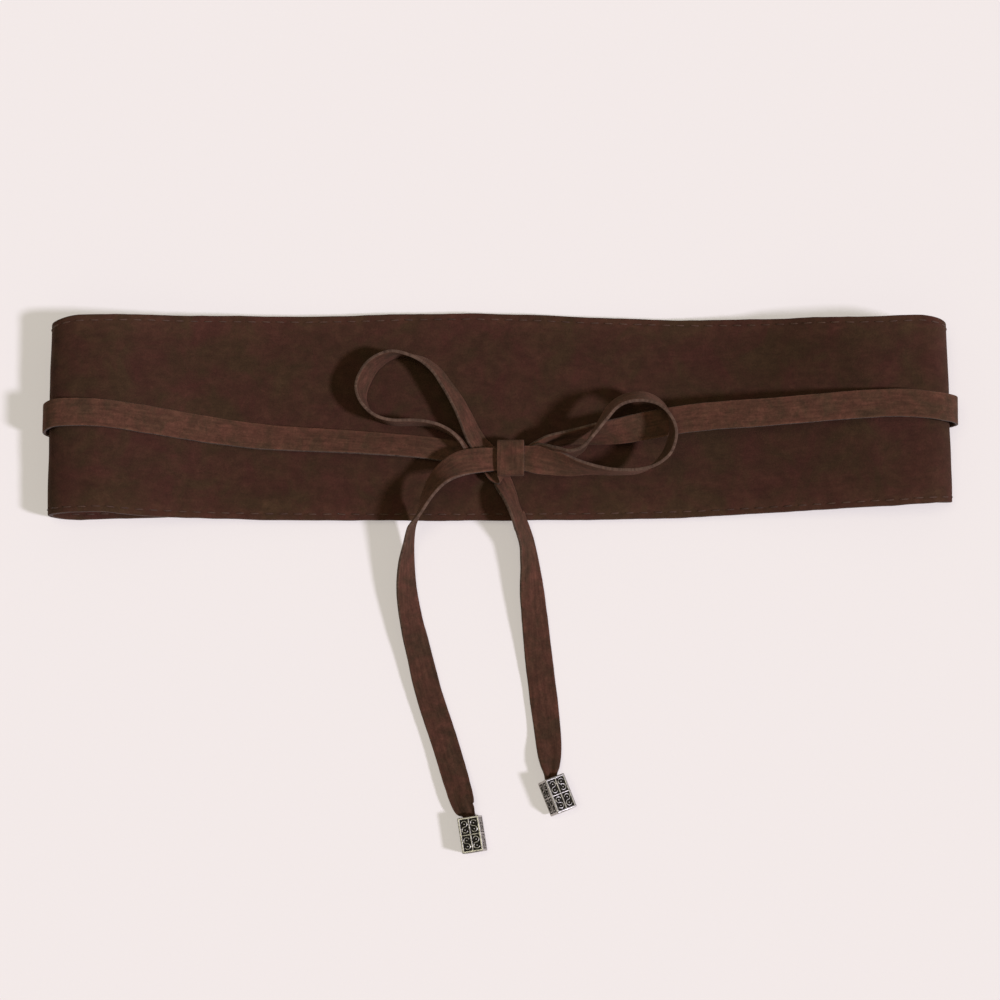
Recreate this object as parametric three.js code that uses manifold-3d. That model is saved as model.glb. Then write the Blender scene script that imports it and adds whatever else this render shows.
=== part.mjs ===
// A wide suede wrap belt lying flat, its two tie straps brought round the sides to the front,
// tied there in a bow, with a square metal bead on the free end of each strap.
// Millimetres, +Z up. The panel's long side runs along X, and the straps' ends hang towards -Y.

import * as THREE from "three";
import { mergeVertices } from "three/addons/utils/BufferGeometryUtils.js";
import Module from "manifold-3d";

const wasm = await Module();
wasm.setup();

// Driving sizes
const panel_thick = 2.0;
const strap_thick = 1.3;
const bead_wide = 8.6;
const bead_long = 14.0;
const bead_hole_radius = 2.9;
const bead_relief = 0.4;

// The middle of the whole belt, in the tables' own X and Y. The part's origin lies there,
// on the floor.
const centre = { x: -0.2, y: 0.5 };

// The panel, laid flat as a loop: a back layer on the floor, a fold at each side and a front layer.
// Each row of the front is a place along X. It gives the Y of the panel's two long edges there,
// and the height of the front's upper face at each edge.
const fold_x = 167;
const back_end_x = 5;
const front_rows = [
  { x: -167, top_y: 104.1, bottom_y: 25.6, top_z: 22.6, bottom_z: 19.8 },
  { x: -157, top_y: 104.4, bottom_y: 25.8, top_z: 22.3, bottom_z: 19.8 },
  { x: -142, top_y: 105.2, bottom_y: 25.0, top_z: 18.6, bottom_z: 15.6 },
  { x: -120, top_y: 105.9, bottom_y: 24.7, top_z: 12.0, bottom_z: 9.6 },
  { x: -97, top_y: 106.5, bottom_y: 24.4, top_z: 8.2, bottom_z: 7.3 },
  { x: -75, top_y: 106.7, bottom_y: 24.3, top_z: 6.5, bottom_z: 6.3 },
  { x: -24, top_y: 108.0, bottom_y: 24.2, top_z: 6.2, bottom_z: 6.2 },
  { x: 0, top_y: 107.9, bottom_y: 24.3, top_z: 6.2, bottom_z: 6.2 },
  { x: 40, top_y: 106.3, bottom_y: 24.6, top_z: 6.2, bottom_z: 6.2 },
  { x: 80, top_y: 105.0, bottom_y: 25.6, top_z: 7.4, bottom_z: 6.6 },
  { x: 104, top_y: 104.3, bottom_y: 26.7, top_z: 12.4, bottom_z: 8.2 },
  { x: 127, top_y: 103.5, bottom_y: 27.8, top_z: 21.0, bottom_z: 11.6 },
  { x: 146, top_y: 102.7, bottom_y: 28.6, top_z: 26.4, bottom_z: 14.6 },
  { x: 158, top_y: 103.0, bottom_y: 29.0, top_z: 27.2, bottom_z: 16.0 },
  { x: 167, top_y: 103.4, bottom_y: 29.7, top_z: 26.6, bottom_z: 16.4 },
];
const folds = {
  left: { side: -1, top_reach: 12.2, bottom_reach: 12.2 },
  right: { side: 1, top_reach: 10.8, bottom_reach: 12.8 },
};

// The Y of the back layer's long edges, at each fold and at each end in the middle of the back.
const back_corners = {
  left: { top_y: 99.2, bottom_y: 25.0 },
  right: { top_y: 99.4, bottom_y: 32.5 },
};
const back_ends = {
  left: { top_y: 101.0, bottom_y: 30.0 },
  right: { top_y: 100.0, bottom_y: 31.5 },
};

// Where the straps run under it, the middle of the back layer is lifted clear of them.
const back_lift = 1.8;
const across_shares = [0, 0.14, 0.31, 0.5, 0.69, 0.86, 1];
const lifted_shares = [0, 0, 1, 1, 1, 0, 0];

const front_steps = 56;
const fold_steps = 14;
const back_steps = 7;

// Each strap is one flat ribbon, given by a row for each bend: the middle of the ribbon,
// the direction across it, as degrees round Z from +X (turn) and degrees up (tip), and its width.
// The right strap starts sewn under the left end of the panel, runs round the right side, doubles
// back inside the knot, makes the right loop and ends in the left bead.
const right_strap_rows = [
  { x: -28, y: 74.0, z: 0.65, turn: 90, tip: 0, wide: 11 },
  { x: 60, y: 71.5, z: 0.65, turn: 90, tip: 0, wide: 11 },
  { x: 150, y: 67.6, z: 0.65, turn: 90, tip: 0, wide: 11 },
  { x: 166, y: 67.2, z: 0.65, turn: 90, tip: 0, wide: 11 },
  { x: 172.6, y: 67.0, z: 1.6, turn: 90, tip: 0, wide: 11 },
  { x: 178.2, y: 66.9, z: 5.4, turn: 90, tip: 0, wide: 11 },
  { x: 181.0, y: 66.8, z: 12.5, turn: 90, tip: 0, wide: 11 },
  { x: 179.4, y: 66.6, z: 20.2, turn: 90, tip: 0, wide: 11 },
  { x: 174.6, y: 66.7, z: 25.3, turn: 90, tip: 0, wide: 11 },
  { x: 167, y: 67.4, z: 27.2, turn: 90, tip: 0, wide: 11 },
  { x: 158, y: 68.0, z: 27.3, turn: 90, tip: 0, wide: 11 },
  { x: 142, y: 67.5, z: 26.6, turn: 90, tip: 0, wide: 11 },
  { x: 123.5, y: 66.2, z: 25.2, turn: 90, tip: 0, wide: 11 },
  { x: 104, y: 64.8, z: 23.4, turn: 90, tip: 0, wide: 11 },
  { x: 85.5, y: 63.9, z: 21.0, turn: 90, tip: 2, wide: 11 },
  { x: 72, y: 62.7, z: 19.0, turn: 90, tip: 5, wide: 11 },
  { x: 58.5, y: 60.5, z: 17.6, turn: 90, tip: 12, wide: 11 },
  { x: 48, y: 58.7, z: 16.3, turn: 92, tip: 25, wide: 10.8 },
  { x: 37, y: 57.4, z: 15.0, turn: 95, tip: 50, wide: 10.2 },
  { x: 27, y: 56.2, z: 14.6, turn: 97, tip: 66, wide: 9.6 },
  { x: 20, y: 54.5, z: 13.9, turn: 100, tip: 58, wide: 8.6 },
  { x: 15, y: 51.8, z: 12.9, turn: 104, tip: 30, wide: 7.0 },
  { x: 11.5, y: 49.9, z: 12.25, turn: 103, tip: 2, wide: 6.0 },
  { x: 8, y: 49.1, z: 12.2, turn: 97, tip: 0, wide: 6.0 },
  { x: 3, y: 49.0, z: 12.2, turn: 92, tip: 0, wide: 6.0 },
  { x: -1.8, y: 49.0, z: 12.2, turn: 90, tip: 0, wide: 6.0 },
  { x: -3.2, y: 49.0, z: 13.0, turn: 90, tip: 0, wide: 6.0 },
  { x: -1.8, y: 48.9, z: 13.8, turn: 90, tip: 0, wide: 6.2 },
  { x: 3, y: 48.4, z: 13.85, turn: 90, tip: 0, wide: 6.4 },
  { x: 8, y: 48.2, z: 13.85, turn: 92, tip: 0, wide: 6.6 },
  { x: 12, y: 48.6, z: 13.85, turn: 98, tip: 4, wide: 6.4 },
  { x: 15, y: 50.0, z: 14.3, turn: 96, tip: 34, wide: 7.6 },
  { x: 18.7, y: 50.0, z: 15.6, turn: 90, tip: 60, wide: 9.4 },
  { x: 23.2, y: 49.6, z: 17.7, turn: 88, tip: 76, wide: 10.6 },
  { x: 28, y: 49.4, z: 20.2, turn: 96, tip: 84, wide: 11 },
  { x: 32.4, y: 51.1, z: 22.9, turn: 124, tip: 92, wide: 11 },
  { x: 35.8, y: 54.8, z: 24.6, turn: 140, tip: 97, wide: 11 },
  { x: 41, y: 62.2, z: 24.9, turn: 139, tip: 105, wide: 11 },
  { x: 44.6, y: 67.0, z: 24.6, turn: 131, tip: 110, wide: 11 },
  { x: 48.9, y: 69.8, z: 24.3, turn: 114, tip: 114, wide: 11 },
  { x: 55.7, y: 71.0, z: 24.0, turn: 90, tip: 116, wide: 11 },
  { x: 61.2, y: 69.3, z: 24.3, turn: 62, tip: 110, wide: 11 },
  { x: 65, y: 65.9, z: 24.9, turn: 38, tip: 101, wide: 11 },
  { x: 67.3, y: 61.5, z: 25.1, turn: 20, tip: 90, wide: 11 },
  { x: 68.1, y: 56.6, z: 25.1, turn: 3, tip: 80, wide: 11 },
  { x: 67.5, y: 52.9, z: 24.7, turn: -16, tip: 76, wide: 11 },
  { x: 65.3, y: 48.3, z: 23.5, turn: -42, tip: 75, wide: 11 },
  { x: 61.3, y: 44.5, z: 22.7, turn: -62, tip: 81, wide: 11 },
  { x: 54.6, y: 42.0, z: 21.2, turn: -80, tip: 88, wide: 11 },
  { x: 44.5, y: 41.9, z: 19.2, turn: -93, tip: 91, wide: 11 },
  { x: 34.8, y: 43.3, z: 17.6, turn: -100, tip: 102, wide: 11 },
  { x: 26.6, y: 44.6, z: 16.7, turn: -100, tip: 127, wide: 11 },
  { x: 20.2, y: 46.2, z: 16.4, turn: -97, tip: 152, wide: 11 },
  { x: 14.6, y: 47.0, z: 16.0, turn: -94, tip: 172, wide: 11 },
  { x: 10.6, y: 47.6, z: 15.45, turn: -92, tip: 178, wide: 10.2 },
  { x: 4.2, y: 47.7, z: 15.4, turn: -91, tip: 180, wide: 9.4 },
  { x: -2, y: 47.3, z: 15.45, turn: -88, tip: 179, wide: 9.2 },
  { x: -8, y: 46.8, z: 16.4, turn: -80, tip: 184, wide: 10 },
  { x: -15.8, y: 45.0, z: 18.3, turn: -68, tip: 199, wide: 10.6 },
  { x: -23.6, y: 39.4, z: 20.8, turn: -44, tip: 227, wide: 11 },
  { x: -28.3, y: 33.0, z: 21.0, turn: -30, tip: 244, wide: 11 },
  { x: -31.6, y: 26.5, z: 18.8, turn: -22, tip: 259, wide: 11 },
  { x: -34.8, y: 20.9, z: 14.0, turn: -17, tip: 275, wide: 11 },
  { x: -36.2, y: 14.5, z: 10.8, turn: -12, tip: 284, wide: 11 },
  { x: -37.1, y: 6.5, z: 8.0, turn: -4, tip: 298, wide: 11 },
  { x: -36.9, y: -4.4, z: 5.9, turn: 6, tip: 312, wide: 11 },
  { x: -35.2, y: -15.4, z: 4.7, turn: 13, tip: 323, wide: 10.8 },
  { x: -32.2, y: -28.1, z: 3.9, turn: 14, tip: 336, wide: 10.6 },
  { x: -28.3, y: -43.9, z: 3.2, turn: 15, tip: 347, wide: 10.6 },
  { x: -21.6, y: -64.4, z: 3.2, turn: 15, tip: 353, wide: 10.6 },
  { x: -16.8, y: -80.3, z: 4.2, turn: 16, tip: 358, wide: 10.2 },
  { x: -15, y: -86.4, z: 4.8, turn: 14, tip: 364, wide: 9.6 },
  { x: -14.1, y: -89.4, z: 5.0, turn: 12, tip: 368, wide: 8.4 },
  { x: -13, y: -90.9, z: 5.0, turn: 10, tip: 370, wide: 6.8 },
  { x: -12.3, y: -92.2, z: 5.0, turn: 9, tip: 370, wide: 5.1 },
  { x: -12.05, y: -93.1, z: 5.0, turn: 9, tip: 370, wide: 4.9 },
  { x: -10.3, y: -103.2, z: 5.0, turn: 9, tip: 370, wide: 4.9 },
];

// The left strap starts sewn under the right end of the panel, runs round the left side, goes up
// round the knot and over it as the visible wrap, passes under it into the left loop, crosses
// under the knot again and ends in the right bead.
const left_strap_rows = [
  { x: 28, y: 57.4, z: 0.65, turn: 90, tip: 0, wide: 11 },
  { x: -60, y: 59.4, z: 0.65, turn: 90, tip: 0, wide: 11 },
  { x: -150, y: 62.4, z: 0.65, turn: 90, tip: 0, wide: 11 },
  { x: -166, y: 62.7, z: 0.65, turn: 90, tip: 0, wide: 11 },
  { x: -172.8, y: 62.8, z: 1.5, turn: 90, tip: 0, wide: 11 },
  { x: -178.2, y: 63.0, z: 5.2, turn: 90, tip: 0, wide: 11 },
  { x: -180.8, y: 63.3, z: 12.0, turn: 90, tip: 0, wide: 11 },
  { x: -179.5, y: 63.9, z: 18.6, turn: 90, tip: 0, wide: 11 },
  { x: -175.6, y: 64.7, z: 22.6, turn: 90, tip: 0, wide: 11 },
  { x: -167, y: 65.0, z: 23.8, turn: 90, tip: 0, wide: 11 },
  { x: -156, y: 64.6, z: 23.0, turn: 90, tip: 0, wide: 11 },
  { x: -138.5, y: 62.6, z: 18.8, turn: 88, tip: -2, wide: 11 },
  { x: -125.5, y: 60.9, z: 14.9, turn: 86, tip: -6, wide: 11 },
  { x: -112.5, y: 59.2, z: 11.9, turn: 84, tip: -10, wide: 10.8 },
  { x: -95.5, y: 57.3, z: 9.9, turn: 85, tip: -14, wide: 10.6 },
  { x: -79.5, y: 56.3, z: 9.3, turn: 87, tip: -18, wide: 10.4 },
  { x: -64.5, y: 55.6, z: 9.2, turn: 87, tip: -20, wide: 10.2 },
  { x: -37, y: 53.7, z: 9.2, turn: 85, tip: -22, wide: 9.8 },
  { x: -26.3, y: 52.6, z: 8.8, turn: 84, tip: -18, wide: 9.6 },
  { x: -19.5, y: 51.6, z: 8.0, turn: 82, tip: -8, wide: 9.2 },
  { x: -13, y: 50.6, z: 7.3, turn: 84, tip: 0, wide: 8.2 },
  { x: -6, y: 50.1, z: 7.2, turn: 92, tip: 0, wide: 7.2 },
  { x: -0.8, y: 50.6, z: 7.25, turn: 112, tip: 0, wide: 6.8 },
  { x: 3.0, y: 52.6, z: 7.9, turn: 155, tip: 0, wide: 6.8 },
  { x: 4.1, y: 54.2, z: 10.4, turn: 180, tip: 0, wide: 8.4 },
  { x: 4.15, y: 54.5, z: 13.4, turn: 180, tip: 0, wide: 10 },
  { x: 4.15, y: 54.2, z: 16.3, turn: 180, tip: 0, wide: 10.7 },
  { x: 4.15, y: 52.4, z: 17.2, turn: 180, tip: 0, wide: 10.7 },
  { x: 4.15, y: 43.4, z: 17.2, turn: 180, tip: 0, wide: 10.7 },
  { x: 4.15, y: 41.7, z: 16.3, turn: 180, tip: 0, wide: 10.7 },
  { x: 4.1, y: 41.5, z: 13.9, turn: 181, tip: 0, wide: 10.7 },
  { x: 3.0, y: 41.9, z: 11.7, turn: 188, tip: 0, wide: 10.4 },
  { x: -1.2, y: 44.0, z: 10.5, turn: 214, tip: 0, wide: 10.2 },
  { x: -3.9, y: 49.2, z: 10.6, turn: 213, tip: 8, wide: 7.6 },
  { x: -8.0, y: 53.6, z: 11.6, turn: 206, tip: 36, wide: 8.8 },
  { x: -11.1, y: 58.7, z: 12.3, turn: 204, tip: 52, wide: 10.4 },
  { x: -13.8, y: 64.6, z: 12.6, turn: 206, tip: 59, wide: 11 },
  { x: -17.2, y: 71.4, z: 12.8, turn: 212, tip: 62, wide: 11 },
  { x: -21.4, y: 78.0, z: 12.6, turn: 218, tip: 67, wide: 11 },
  { x: -25.9, y: 84.1, z: 12.4, turn: 226, tip: 70, wide: 11 },
  { x: -32.4, y: 88.7, z: 12.3, turn: 243, tip: 76, wide: 11 },
  { x: -42.3, y: 90.2, z: 12.3, turn: 270, tip: 93, wide: 11 },
  { x: -47.4, y: 88.1, z: 12.3, turn: 292, tip: 104, wide: 11 },
  { x: -51.2, y: 85.0, z: 12.3, turn: 315, tip: 110, wide: 11 },
  { x: -53.5, y: 81.5, z: 12.3, turn: 335, tip: 113, wide: 11 },
  { x: -55.2, y: 76.8, z: 12.3, turn: 360, tip: 112, wide: 11 },
  { x: -55, y: 72.4, z: 12.3, turn: 382, tip: 104, wide: 11 },
  { x: -52.4, y: 67.6, z: 12.3, turn: 405, tip: 96, wide: 11 },
  { x: -48.2, y: 64.3, z: 12.3, turn: 425, tip: 92, wide: 11 },
  { x: -42.7, y: 62.7, z: 12.3, turn: 440, tip: 90, wide: 11 },
  { x: -33.6, y: 62.7, z: 12.3, turn: 446, tip: 90, wide: 11 },
  { x: -28.2, y: 62.0, z: 12.4, turn: 436, tip: 90, wide: 11 },
  { x: -23.5, y: 60.5, z: 12.6, turn: 424, tip: 90, wide: 10.8 },
  { x: -19.3, y: 58.2, z: 13.0, turn: 410, tip: 92, wide: 9.6 },
  { x: -15.9, y: 55.2, z: 12.9, turn: 400, tip: 98, wide: 8 },
  { x: -12.6, y: 51.8, z: 11.7, turn: 398, tip: 122, wide: 6.4 },
  { x: -8.4, y: 48.3, z: 9.9, turn: 402, tip: 156, wide: 6 },
  { x: -3.8, y: 44.5, z: 8.85, turn: 402, tip: 178, wide: 6 },
  { x: 0.2, y: 41.0, z: 8.6, turn: 396, tip: 174, wide: 6.6 },
  { x: 2.0, y: 36.8, z: 9.8, turn: 387, tip: 142, wide: 8.2 },
  { x: 4.2, y: 31.2, z: 12.4, turn: 382, tip: 119, wide: 10 },
  { x: 6.7, y: 25.4, z: 13.5, turn: 380, tip: 117, wide: 10.8 },
  { x: 8.3, y: 21.7, z: 11.0, turn: 378, tip: 116, wide: 11 },
  { x: 10.7, y: 14.5, z: 7.1, turn: 374, tip: 120, wide: 11 },
  { x: 11.9, y: 5.8, z: 5.8, turn: 366, tip: 131, wide: 11 },
  { x: 12.7, y: -4.3, z: 4.6, turn: 364, tip: 147, wide: 11 },
  { x: 13.8, y: -15.4, z: 3.7, turn: 366, tip: 158, wide: 11 },
  { x: 15.4, y: -31.1, z: 2.2, turn: 366, tip: 168, wide: 11 },
  { x: 17.3, y: -46.9, z: 1.6, turn: 367, tip: 174, wide: 11 },
  { x: 18.9, y: -60.9, z: 2.2, turn: 367, tip: 172, wide: 10.4 },
  { x: 19.5, y: -69.4, z: 4.2, turn: 368, tip: 166, wide: 9.2 },
  { x: 19.7, y: -73.6, z: 5.1, turn: 371, tip: 161, wide: 7.6 },
  { x: 19.8, y: -76.1, z: 5.55, turn: 378, tip: 160, wide: 5.6 },
  { x: 20.1, y: -78.3, z: 5.5, turn: 381, tip: 160, wide: 5 },
  { x: 24, y: -88.3, z: 5.5, turn: 381, tip: 160, wide: 5 },
];

// Middle of each bead, the direction of its hole as degrees round Z from +X, and how far it is
// rolled about its hole, in degrees. A rolled bead rests on one of its long edges.
const beads = [
  { name: "left_bead", x: -10.9, y: -100.0, axis: 279, roll: 10 },
  { name: "right_bead", x: 22.5, y: -84.5, axis: 291.5, roll: -20 },
];

const colours = { panel: 0x3e261c, strap: 0x4a2e23, silver: 0x8d8b84 };

// A point on a smooth curve through the rows, between row i and the next, for every column.
function between(rows, i, share) {
  const picks = [i - 1, i, i + 1, i + 2].map((k) => rows[Math.min(Math.max(k, 0), rows.length - 1)]);
  const gap = (a, b) => Math.max(Math.sqrt(Math.hypot(b.x - a.x, b.y - a.y, b.z - a.z)), 1e-3);
  const knots = [0];
  for (let k = 1; k < 4; k += 1) {
    knots.push(knots[k - 1] + gap(picks[k - 1], picks[k]));
  }
  const t = knots[1] + share * (knots[2] - knots[1]);
  const point = {};
  for (const key of Object.keys(picks[0])) {
    let level = picks.map((row) => row[key]);
    for (let span = 1; span <= 3; span += 1) {
      const next = [];
      for (let k = 0; k + span < 4; k += 1) {
        const [low, high] = span === 3 ? [knots[1], knots[2]] : [knots[k], knots[k + span]];
        next.push((level[k] * (high - t) + level[k + 1] * (t - low)) / (high - low));
      }
      level = next;
    }
    point[key] = level[0];
  }
  return point;
}

// Closes two matching grids of points, the outer and the inner face of a sheet, into one solid.
function slab(outer, inner) {
  const rows = outer.length;
  const columns = outer[0].length;
  const positions = [...outer.flat(), ...inner.flat()].flatMap((p) => [p.x, p.y, p.z]);
  const out = (i, j) => i * columns + j;
  const inn = (i, j) => (rows + i) * columns + j;
  const faces = [];
  const quad = (a, b, c, d) => faces.push(a, b, c, a, c, d);
  for (let i = 0; i + 1 < rows; i += 1) {
    for (let j = 0; j + 1 < columns; j += 1) {
      quad(out(i, j), out(i + 1, j), out(i + 1, j + 1), out(i, j + 1));
      quad(inn(i, j), inn(i, j + 1), inn(i + 1, j + 1), inn(i + 1, j));
    }
    quad(out(i, 0), inn(i, 0), inn(i + 1, 0), out(i + 1, 0));
    quad(out(i, columns - 1), out(i + 1, columns - 1), inn(i + 1, columns - 1), inn(i, columns - 1));
  }
  for (let j = 0; j + 1 < columns; j += 1) {
    quad(out(0, j), out(0, j + 1), inn(0, j + 1), inn(0, j));
    quad(out(rows - 1, j), inn(rows - 1, j), inn(rows - 1, j + 1), out(rows - 1, j + 1));
  }
  const geometry = new THREE.BufferGeometry();
  geometry.setAttribute("position", new THREE.Float32BufferAttribute(positions, 3));
  geometry.setIndex(faces);
  geometry.computeVertexNormals();
  return geometry;
}

const mix = THREE.MathUtils.lerp;

// The front of the panel at one place along it: both edges, and the middle of its thickness.
function front_stations() {
  const first = front_rows[0].x;
  const last = front_rows[front_rows.length - 1].x;
  const rows = front_rows.map((row) => ({ ...row, y: 0, z: 0 }));
  const stations = [];
  for (let n = 0; n <= front_steps; n += 1) {
    const x = mix(first, last, n / front_steps);
    const i = Math.min(rows.findLastIndex((row) => row.x <= x), rows.length - 2);
    const share = (x - rows[i].x) / (rows[i + 1].x - rows[i].x);
    stations.push({ ...between(rows, i, share), x });
  }
  return stations;
}

// One line along the whole panel, at a share of its width, from the left back end to the right.
// Each point carries the direction of the panel's outer face in the XZ plane.
function panel_line(share, lift) {
  const low = panel_thick / 2 + lift * back_lift;
  const fronts = front_stations();
  const height = (row) => mix(row.bottom_z, row.top_z, share) - panel_thick / 2;
  const across = (row) => mix(row.bottom_y, row.top_y, share);
  const back = (side, end, corner) => {
    const points = [];
    for (let n = 0; n < back_steps; n += 1) {
      const t = n / back_steps;
      const x = side * mix(back_end_x, fold_x, t);
      points.push({ x, y: mix(across(end), across(corner), t), z: low, out_x: 0, out_z: -1 });
    }
    return points;
  };
  const fold = (shape, back_corner, corner) => {
    const reach = mix(shape.bottom_reach, shape.top_reach, share) - panel_thick / 2;
    const rise = (height(corner) - low) / 2;
    const points = [];
    for (let n = 0; n < fold_steps; n += 1) {
      const angle = -Math.PI / 2 + (Math.PI * n) / fold_steps;
      const out_x = shape.side * Math.cos(angle) * rise;
      const out_z = Math.sin(angle) * reach;
      const length = Math.hypot(out_x, out_z);
      points.push({
        x: shape.side * (fold_x + reach * Math.cos(angle)),
        y: mix(across(back_corner), across(corner), n / fold_steps),
        z: low + rise * (1 + Math.sin(angle)),
        out_x: out_x / length,
        out_z: out_z / length,
      });
    }
    return points;
  };
  const middle = fronts.map((row, i) => {
    const ahead = fronts[Math.min(i + 1, fronts.length - 1)];
    const behind = fronts[Math.max(i - 1, 0)];
    const ends = i === 0 || i === fronts.length - 1;
    const slope = ends ? 0 : (height(ahead) - height(behind)) / (ahead.x - behind.x);
    const length = Math.hypot(slope, 1);
    return { x: row.x, y: across(row), z: height(row), out_x: -slope / length, out_z: 1 / length };
  });
  const first = fronts[0];
  const last = fronts[fronts.length - 1];
  return [
    ...back(-1, back_ends.left, back_corners.left),
    ...fold(folds.left, back_corners.left, first),
    ...middle,
    ...fold(folds.right, back_corners.right, last).reverse(),
    ...back(1, back_ends.right, back_corners.right).reverse(),
  ];
}

function waist_band() {
  const lines = across_shares.map((share, k) => panel_line(share, lifted_shares[k]));
  const face = (side) =>
    lines[0].map((_, i) =>
      lines.map((line) => {
        const p = line[i];
        const shift = (side * panel_thick) / 2;
        return new THREE.Vector3(p.x + shift * p.out_x, p.y, p.z + shift * p.out_z);
      }),
    );
  return slab(face(1), face(-1));
}

// Frames along a strap: its middle, direction, direction across and width at short even steps.
function strap_frames(rows) {
  const fine_step = 0.5;
  const points = [];
  for (let i = 0; i + 1 < rows.length; i += 1) {
    const [a, b] = [rows[i], rows[i + 1]];
    const steps = Math.ceil(Math.hypot(b.x - a.x, b.y - a.y, b.z - a.z) / fine_step);
    for (let n = 0; n < steps; n += 1) {
      const point = between(rows, i, n / steps);
      points.push({ ...point, z: Math.max(point.z, strap_thick / 2) });
    }
  }
  points.push(rows[rows.length - 1]);
  return points.map((p, i) => {
    const ahead = points[Math.min(i + 1, points.length - 1)];
    const behind = points[Math.max(i - 1, 0)];
    const along = new THREE.Vector3(ahead.x - behind.x, ahead.y - behind.y, ahead.z - behind.z).normalize();
    const turn = THREE.MathUtils.degToRad(p.turn);
    const tip = THREE.MathUtils.degToRad(p.tip);
    const across = new THREE.Vector3(Math.cos(tip) * Math.cos(turn), Math.cos(tip) * Math.sin(turn), Math.sin(tip));
    across.addScaledVector(along, -across.dot(along)).normalize();
    return { middle: new THREE.Vector3(p.x, p.y, p.z), along, across, wide: p.wide };
  });
}

// Keeps only the frames that the strap's bends, twists and changes of width need.
function thinned(frames) {
  const most_bend = THREE.MathUtils.degToRad(9);
  const most_length = 16;
  const most_widening = 0.4;
  const kept = [frames[0]];
  for (let i = 1; i + 1 < frames.length; i += 1) {
    const last = kept[kept.length - 1];
    const next = frames[i + 1];
    const bend = Math.max(last.along.angleTo(next.along), last.across.angleTo(next.across));
    const length = last.middle.distanceTo(next.middle);
    if (bend > most_bend || length > most_length || Math.abs(last.wide - next.wide) > most_widening) {
      kept.push(frames[i]);
    }
  }
  kept.push(frames[frames.length - 1]);
  return kept;
}

function strap(rows) {
  const frames = thinned(strap_frames(rows));
  const face = (side) =>
    frames.map((frame) => {
      const normal = new THREE.Vector3().crossVectors(frame.along, frame.across);
      const level = frame.middle.clone().addScaledVector(normal, (side * strap_thick) / 2);
      return [-0.5, 0.5].map((share) => level.clone().addScaledVector(frame.across, share * frame.wide));
    });
  return slab(face(1), face(-1));
}

function to_solid(geometry) {
  const bare = geometry.clone();
  bare.deleteAttribute("normal");
  bare.deleteAttribute("uv");
  const merged = mergeVertices(bare, 1e-4);
  return new wasm.Manifold(
    new wasm.Mesh({
      numProp: 3,
      vertProperties: Float32Array.from(merged.attributes.position.array),
      triVerts: Uint32Array.from(merged.index.array),
    }),
  );
}

function to_geometry(solid) {
  const mesh = solid.getMesh();
  const geometry = new THREE.BufferGeometry();
  geometry.setAttribute("position", new THREE.BufferAttribute(Float32Array.from(mesh.vertProperties), 3));
  geometry.setIndex(Array.from(mesh.triVerts));
  geometry.computeVertexNormals();
  return geometry;
}

function box(wide, long, high) {
  return new THREE.BoxGeometry(wide, long, high);
}

// A raised scroll, shaped like a letter S, lying in the XY plane and rising from z = 0.
function scroll(radius, band, height) {
  const segments = 5;
  const sweep = 1.35 * Math.PI;
  const path = [];
  for (let n = 0; n <= segments; n += 1) {
    const angle = 1.5 * Math.PI - sweep * (1 - n / segments);
    const [c, s] = [Math.cos(angle), Math.sin(angle)];
    path.push({ x: radius * c, y: radius * (1 + s), out_x: c, out_y: s });
  }
  for (let n = 1; n <= segments; n += 1) {
    const angle = 0.5 * Math.PI - (sweep * n) / segments;
    const [c, s] = [Math.cos(angle), Math.sin(angle)];
    path.push({ x: radius * c, y: radius * (s - 1), out_x: -c, out_y: -s });
  }
  const edge = (side) =>
    path.map((p) => new THREE.Vector2(p.x + (side * band * p.out_x) / 2, p.y + (side * band * p.out_y) / 2));
  const shape = new THREE.Shape([...edge(1), ...edge(-1).reverse()]);
  return new THREE.ExtrudeGeometry(shape, { depth: height, bevelEnabled: false });
}

// A square bead with its hole along Y. Raised bars divide each long side into four cells,
// and each cell holds a raised scroll with a boss in each of its two bowls.
function bead() {
  const core = bead_wide - 2 * bead_relief;
  const post = 0.9;
  const bar = 0.7;
  const end_bar = 0.9;
  const scroll_radius = 1.15;
  const scroll_band = 0.6;
  const boss_radius = 0.42;
  const sunk = 0.3;
  const rise = bead_relief + sunk;
  const parts = [box(core, bead_long, core)];
  for (const sx of [-1, 1]) {
    for (const sz of [-1, 1]) {
      const corner = (bead_wide - post) / 2;
      parts.push(box(post, bead_long, post).translate(sx * corner, 0, sz * corner));
    }
  }
  for (const sy of [-1, 1]) {
    parts.push(box(bead_wide, end_bar, bead_wide).translate(0, (sy * (bead_long - end_bar)) / 2, 0));
  }
  parts.push(box(bead_wide, bar, bead_wide));
  parts.push(box(bar, bead_long, bead_wide));
  parts.push(box(bead_wide, bead_long, bar));
  const cell_x = (bead_wide / 2 - post + bar / 2) / 2;
  const cell_y = (bead_long / 2 - end_bar + bar / 2) / 2;
  for (let side = 0; side < 4; side += 1) {
    for (const [sx, sy] of [[1, 1], [-1, 1], [-1, -1], [1, -1]]) {
      const raised = [scroll(scroll_radius, scroll_band, rise)];
      for (const bowl of [-1, 1]) {
        const boss = new THREE.CylinderGeometry(boss_radius, boss_radius, rise, 5);
        raised.push(boss.rotateX(Math.PI / 2).translate(0, bowl * scroll_radius, rise / 2));
      }
      for (const piece of raised) {
        if (sx * sy < 0) {
          piece.rotateY(Math.PI).translate(0, 0, rise);
        }
        piece.translate(sx * cell_x, sy * cell_y, core / 2 - sunk);
        parts.push(piece.rotateY((side * Math.PI) / 2));
      }
    }
  }
  const hole = new THREE.CylinderGeometry(bead_hole_radius, bead_hole_radius, 2 * bead_long, 16);
  const body = parts.map(to_solid).reduce((whole, piece) => whole.add(piece));
  return to_geometry(body.subtract(to_solid(hole)));
}

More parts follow.
